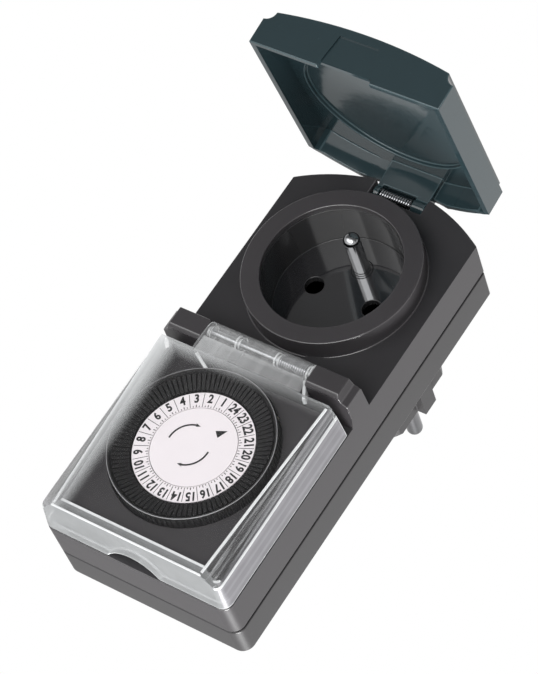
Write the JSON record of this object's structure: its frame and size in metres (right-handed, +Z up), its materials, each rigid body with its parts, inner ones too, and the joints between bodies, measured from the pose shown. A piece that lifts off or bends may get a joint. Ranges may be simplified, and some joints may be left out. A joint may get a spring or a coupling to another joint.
{
  "type": "plug-in timer switch",
  "caption": "Weatherproof plug-in timer switch with a pin-earth plug behind, a pin-earth socket under a spring lid and a mechanical day dial under a clear hinged cover.",
  "frame": {"origin": "centre of the plug's end face, midway between its two live pins", "axes": "+Y the way the plug pins point, into the wall; +Z up, towards the socket lid's hinge; +X to the right seen from the front"},
  "size_m": [0.06, 0.1315, 0.1464],
  "materials": {
    "front_plastic": "fine moulded texture, satin",
    "rear_plastic": "fine moulded texture, satin",
    "gasket_rubber": "soft sealing cord",
    "screw_steel": "zinc plated",
    "bowl_plastic": "glossy moulded insert",
    "pin_nickel": "nickel plated, drawn marks",
    "contact_brass": "stamped strip",
    "plug_plastic": "moulded",
    "lid_plastic": "semi gloss, dark slate green",
    "hinge_steel": "drawn wire",
    "spring_steel": "bright spring wire",
    "clear_plastic": "clear moulded plastic with frosted walls",
    "frame_plastic": "natural moulding",
    "dial_white": "printed white",
    "dial_black": "moulded, satin",
    "tappet_plastic": "moulded, satin",
    "gear_plastic": "natural acetal",
    "motor_steel": "pressed steel",
    "coil_copper": "enamelled winding",
    "rotor_metal": "sintered magnet and steel shaft",
    "switch_plastic": "moulded case"
  },
  "bodies": {
    "housing": {"front_housing": "front_plastic", "rear_housing": "rear_plastic", "plug_body": "rear_plastic", "housing_gasket": "gasket_rubber", "housing_screws": "screw_steel", "socket_bowl": "bowl_plastic", "earth_pin": "pin_nickel", "contact_left": "contact_brass", "contact_right": "contact_brass", "earth_bar": "contact_brass", "earth_receptacle": "contact_brass", "neutral_bar": "contact_brass", "line_in_bar": "contact_brass", "line_out_bar": "contact_brass", "plug_plate": "plug_plastic", "plug_pin_left": "pin_nickel", "plug_pin_right": "pin_nickel", "socket_lid_pin": "hinge_steel", "socket_lid_spring": "spring_steel", "timer_cover_pin": "hinge_steel", "timer_cover_spring": "spring_steel", "mechanism_plate": "frame_plastic", "dial_post": "hinge_steel", "centre_disc": "dial_white", "idler_arbor": "hinge_steel", "motor_can": "motor_steel", "motor_coil": "coil_copper", "switch_case": "switch_plastic", "lever_pin": "hinge_steel", "switch_blade": "contact_brass", "fixed_contact": "contact_brass"},
    "lid": {"socket_lid": "lid_plastic"},
    "cover": {"timer_cover": "clear_plastic"},
    "dial": {"dial_wheel": "dial_black", "numeral_ring": "dial_white", "dial_tappets": "tappet_plastic"},
    "tappet_a": {"tappet_1": "tappet_plastic"},
    "tappet_b": {"tappet_2": "tappet_plastic"},
    "tappet_c": {"tappet_3": "tappet_plastic"},
    "idler": {"idler_gear": "gear_plastic"},
    "motor_shaft": {"motor_rotor": "rotor_metal"},
    "lever": {"switch_lever": "gear_plastic"}
  },
  "joints": [
    {"name": "socket_lid_hinge", "type": "hinge", "parent": "housing", "child": "lid", "pos_m": [0, -0.05, 0.0308], "axis": [-1, 0, 0], "range_deg": [-82.6, 5]},
    {"name": "timer_cover_hinge", "type": "hinge", "parent": "housing", "child": "cover", "pos_m": [0, -0.0627, -0.0333], "axis": [-1, 0, 0], "range_deg": [0, 90], "stiffness_Nm_per_rad": 0.004, "springref_deg": -28.65},
    {"name": "dial_turn", "type": "hinge", "parent": "housing", "child": "dial", "pos_m": [-0.0012, -0.062, -0.065], "axis": [0, -1, 0], "continuous": true},
    {"name": "idler_turn", "type": "hinge", "parent": "housing", "child": "idler", "pos_m": [0.00701, -0.048, -0.04245], "axis": [0, -1, 0], "continuous": true},
    {"name": "motor_shaft_turn", "type": "hinge", "parent": "housing", "child": "motor_shaft", "pos_m": [-0.00402, -0.043, -0.0517], "axis": [0, -1, 0], "continuous": true},
    {"name": "tappet_1_push", "type": "slide", "parent": "dial", "child": "tappet_a", "axis": [0, 1, 0], "range_m": [0, 0.0018]},
    {"name": "tappet_2_push", "type": "slide", "parent": "dial", "child": "tappet_b", "axis": [0, 1, 0], "range_m": [0, 0.0018]},
    {"name": "tappet_3_push", "type": "slide", "parent": "dial", "child": "tappet_c", "axis": [0, 1, 0], "range_m": [0, 0.0018]},
    {"name": "switch_lever_rock", "type": "hinge", "parent": "housing", "child": "lever", "pos_m": [0.025, -0.0486, -0.0773], "axis": [0, 0, -1], "range_deg": [0, 7], "stiffness_Nm_per_rad": 0.002, "springref_deg": -11.46}
  ],
  "couplings": [
    {"joint": "idler_turn", "follows": "dial_turn", "ratio": -7},
    {"joint": "motor_shaft_turn", "follows": "dial_turn", "ratio": 35}
  ]
}
